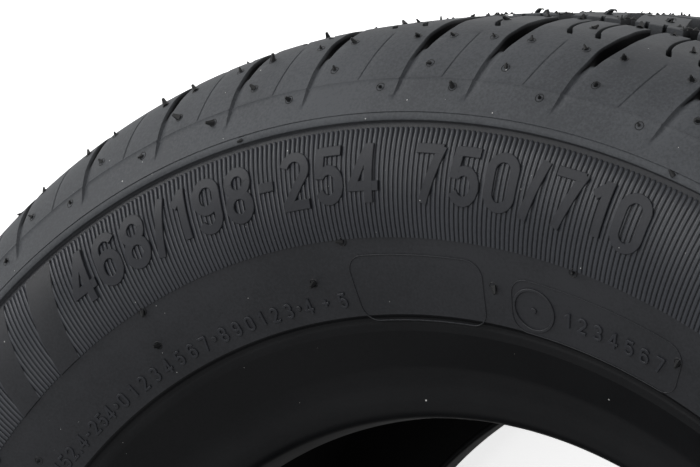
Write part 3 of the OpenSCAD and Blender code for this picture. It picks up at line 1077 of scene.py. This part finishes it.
def spew_places():
    """Point and outward direction of every hair, from the pitches and from even steps on the sidewalls."""
    places = []
    for side in (0, 1):
        for start, length in side_layout(side):
            places += [place_on(side, *tread_at(run), start + length * share + off)
                       for share, off, run in SHOULDER_SPEWS]
        places += [place_on(side, (strip_in + strip_out) / 2, facing(STRIP_FACE),
                            FIRST_STRIP_SPEW + 360 * k / STRIP_SPEWS) for k in range(STRIP_SPEWS)]
        places += [place_on(side, *wall_at(height), first + 360 * k / count)
                   for height, first, count in WALL_SPEWS for k in range(count)]
    return places


def middle_places(spots):
    """The same for the two middle rows, from shares of a pitch and distances from the middle plane."""
    return [place_on(side, *tread_at(run), start + length * share)
            for side in (0, 1) for start, length in middle_layout(side) for share, run in spots]


def points_mesh(name, places):
    """Loose points that carry an outward direction each."""
    mesh = bpy.data.meshes.new(name)
    mesh.vertices.add(len(places))
    points = np.array([p for p, _ in places], dtype=np.float32)
    mesh.vertices.foreach_set("co", points.ravel() * MM)
    mesh.attributes.new("outward", "FLOAT_VECTOR", "POINT")
    outward = np.array([n for _, n in places], dtype=np.float32)
    mesh.attributes["outward"].data.foreach_set("vector", outward.ravel())
    return mesh


def hair_tree(material):
    """Geometry Nodes tree that stands a leaning hair, with a ring at its foot, on each point."""
    inputs = {label: "NodeSocketFloat" for label in (*HAIR_SIZES, "Lean")}
    tree, given, sockets = new_tree("mould_hairs", inputs | {"Seed": "NodeSocketInt"})
    hair = add_node(tree, "GeometryNodeMeshCone", {
        "Radius Top": given["Tip radius"], "Radius Bottom": given["Foot radius"],
        "Depth": given["Hair height"]}, Vertices=6)
    circle = add_node(tree, "GeometryNodeCurvePrimitiveCircle",
                      {"Radius": given["Ring radius"]}, Resolution=10)
    wire = add_node(tree, "GeometryNodeCurvePrimitiveCircle", Resolution=4, Radius=RING_WIRE_R * MM)
    ring = add_node(tree, "GeometryNodeCurveToMesh", {
        "Curve": circle.outputs["Curve"], "Profile Curve": wire.outputs["Curve"]})
    outward = add_node(tree, "GeometryNodeInputNamedAttribute", data_type="FLOAT_VECTOR")
    outward.inputs["Name"].default_value = "outward"
    upright = add_node(tree, "FunctionNodeAlignRotationToVector",
                       {"Vector": outward.outputs["Attribute"]}, axis="Z")
    lean = math_node(tree, "MULTIPLY", given["Lean"], -1)
    low = add_node(tree, "ShaderNodeCombineXYZ", {"X": lean, "Y": lean})
    high = add_node(tree, "ShaderNodeCombineXYZ", {"X": given["Lean"], "Y": given["Lean"]})
    tilt = add_node(tree, "FunctionNodeRandomValue", {
        "Min": low.outputs["Vector"], "Max": high.outputs["Vector"], "Seed": given["Seed"]},
        data_type="FLOAT_VECTOR")
    leaning = add_node(tree, "FunctionNodeRotateRotation", {
        "Rotation": upright.outputs["Rotation"], "Rotate By": tilt.outputs["Value"]},
        rotation_space="LOCAL")
    tall = add_node(tree, "FunctionNodeRandomValue", {"Seed": given["Seed"]}, data_type="FLOAT")
    tall.inputs[2].default_value, tall.inputs[3].default_value = SPEW_SCALES
    hairs = add_node(tree, "GeometryNodeInstanceOnPoints", {
        "Points": given["Geometry"], "Instance": hair.outputs["Mesh"],
        "Rotation": leaning.outputs["Rotation"], "Scale": next(o for o in tall.outputs if o.enabled)})
    rings = add_node(tree, "GeometryNodeInstanceOnPoints", {
        "Points": given["Geometry"], "Instance": ring.outputs["Mesh"],
        "Rotation": upright.outputs["Rotation"]})
    both = tree.nodes.new("GeometryNodeJoinGeometry")
    tree.links.new(rings.outputs["Instances"], both.inputs["Geometry"])
    tree.links.new(hairs.outputs["Instances"], both.inputs["Geometry"])
    end_tree(tree, both.outputs["Geometry"], material)
    return tree, sockets


def grow(name, places, sizes, lean):
    """Stands hairs on places. Sizes are in millimetres, in the order of HAIR_SIZES."""
    values = {label: size * MM for label, size in zip(HAIR_SIZES, sizes)} | {"Lean": lean, "Seed": SPEW_SEED}
    dress(apply_tree(name, points_mesh(name + "_points", places), hairs, hair_sockets, values))


hairs, hair_sockets = hair_tree(hair_rubber)
grow("spews", spew_places(), (1.7, 0.72, 0.3, 1.15), 0.9)
grow("middle_spews", middle_places(MIDDLE_SPEWS), (1.0, 0.3, 0.16, 1.1), 0.8)
grow("spew_stubs", middle_places(STUBS), (0.65, 0.75, 0.12, 0.9), 0.15)


# Flash: a few curled tongues of thin rubber on the crown, squeezed out between the mould's segments. Each
# is a bent strip that stands on its foot.
FLASH = ((0, 86.9, 24, 1.0), (0, 92.5, 23, 0.8), (0, 82.4, 24, 0.8),
         (0, 31.0, 20, 0.9), (1, 64.0, 26, 1.0), (1, -40.0, 21, 0.8))
FLASH_PATH = ((-1.3, -0.3), (-0.9, 0.5), (-0.3, 1.2), (0.4, 1.6), (1.1, 1.55), (1.4, 1.2))
FLASH_HALF_WIDTHS = (1.5, 1.45, 1.3, 1.1, 0.8, 0.45)
FLASH_THICK = 0.45


def flash_mesh():
    points = []
    quads = []
    for side, angle, z, size in FLASH:
        foot, normal = place_on(side, *tread_at(z), angle)
        axis = np.array([0.0, 0.0, 1.0])
        along = np.cross(normal, axis)
        first = len(points)
        for (x, h), half in zip(FLASH_PATH, FLASH_HALF_WIDTHS):
            for w, t in ((-half, 0), (half, 0), (half, FLASH_THICK), (-half, FLASH_THICK)):
                points.append(foot + size * ((x + t * 0.7) * along + (h - t * 0.7) * normal + w * axis))
        last = first + len(FLASH_PATH) * 4 - 4
        for i in range(len(FLASH_PATH) - 1):
            a = first + i * 4
            quads += [(a + j, a + (j + 1) % 4, a + 4 + (j + 1) % 4, a + 4 + j) for j in range(4)]
        quads += [(first + 3, first + 2, first + 1, first), (last, last + 1, last + 2, last + 3)]
    return mesh_of("flash", points, quads)


dress(add_object("flash", flash_mesh(), tread_rubber, 50))


# Stage: a plain white floor under the tyre, soft light from above and the side, and a long lens that looks
# down across the sidewall at the photograph's angle.
FLOOR_Z = -99
FLOOR_SIZE = 8.0
FLOOR_LIFT = 0.75
WORLD_LIGHT = 0.42
FRAME_WIDTH = 700
SENSOR_WIDTH = 36.0
FOCAL_PIXELS = 2965.954
CAMERA_AT = (396.952, 233.091, 735.524)
CAMERA_RIGHT = (0.8347835, 0.0192680, -0.5502411)
CAMERA_DOWN = (0.0571545, -0.9970208, 0.0517973)
CAMERA_FORWARD = (-0.5476038, -0.0746883, -0.8333977)


def make_camera():
    data = bpy.data.cameras.new("photo_camera")
    data.sensor_fit = "HORIZONTAL"
    data.sensor_width = SENSOR_WIDTH
    data.lens = FOCAL_PIXELS * SENSOR_WIDTH / FRAME_WIDTH
    data.clip_start = 0.01
    data.clip_end = 50
    camera = new_object("photo_camera", data)
    turn = Matrix((CAMERA_RIGHT, -Vector(CAMERA_DOWN), -Vector(CAMERA_FORWARD))).transposed()
    camera.matrix_world = Matrix.Translation(Vector(CAMERA_AT) * MM) @ turn.to_4x4()
    bpy.context.scene.camera = camera


def make_floor():
    half = FLOOR_SIZE / 2 / MM
    corners = [(-half, -half, FLOOR_Z), (half, -half, FLOOR_Z), (half, half, FLOOR_Z), (-half, half, FLOOR_Z)]
    mesh = mesh_of("floor", corners, [(0, 1, 2, 3)])
    material = bpy.data.materials.new("floor_white")
    material.use_nodes = True
    tree = material.node_tree
    shader = tree.nodes["Principled BSDF"]
    shader.inputs["Base Color"].default_value = (0.9, 0.9, 0.9, 1)
    shader.inputs["Roughness"].default_value = 0.9
    shader.inputs["Emission Color"].default_value = (1, 1, 1, 1)
    seen = add_node(tree, "ShaderNodeLightPath").outputs["Is Camera Ray"]
    tree.links.new(math_node(tree, "MULTIPLY", seen, FLOOR_LIFT), shader.inputs["Emission Strength"])
    mesh.materials.append(material)
    floor = new_object("floor", mesh)


def add_area_light(name, at, size, watts):
    """Soft round light that looks at the middle of the tyre."""
    data = bpy.data.lights.new(name, "AREA")
    data.shape = "DISK"
    data.size = size
    data.energy = watts
    light = new_object(name, data)
    light.location = at
    light.rotation_euler = (-Vector(at)).to_track_quat("-Z", "Y").to_euler()


def make_world():
    """Even grey light all round, which the camera sees as white."""
    world = bpy.data.worlds.new("studio")
    world.use_nodes = True
    tree = world.node_tree
    sky = tree.nodes["Background"]
    sky.inputs["Color"].default_value = (1, 1, 1, 1)
    sky.inputs["Strength"].default_value = WORLD_LIGHT
    white = add_node(tree, "ShaderNodeBackground", Color=(1, 1, 1, 1), Strength=1.0)
    mix = tree.nodes.new("ShaderNodeMixShader")
    parts = (add_node(tree, "ShaderNodeLightPath").outputs["Is Camera Ray"], sky.outputs[0], white.outputs[0])
    for source, socket in zip(parts, mix.inputs):
        tree.links.new(source, socket)
    tree.links.new(mix.outputs[0], tree.nodes["World Output"].inputs["Surface"])
    bpy.context.scene.world = world


make_camera()
make_floor()
make_world()
add_area_light("left_soft", (-1.6, 1.2, 0.95), 1.2, 19)
add_area_light("front_soft", (0.15, 0.75, 2.3), 1.4, 21)
bpy.context.scene.view_settings.view_transform = "Standard"
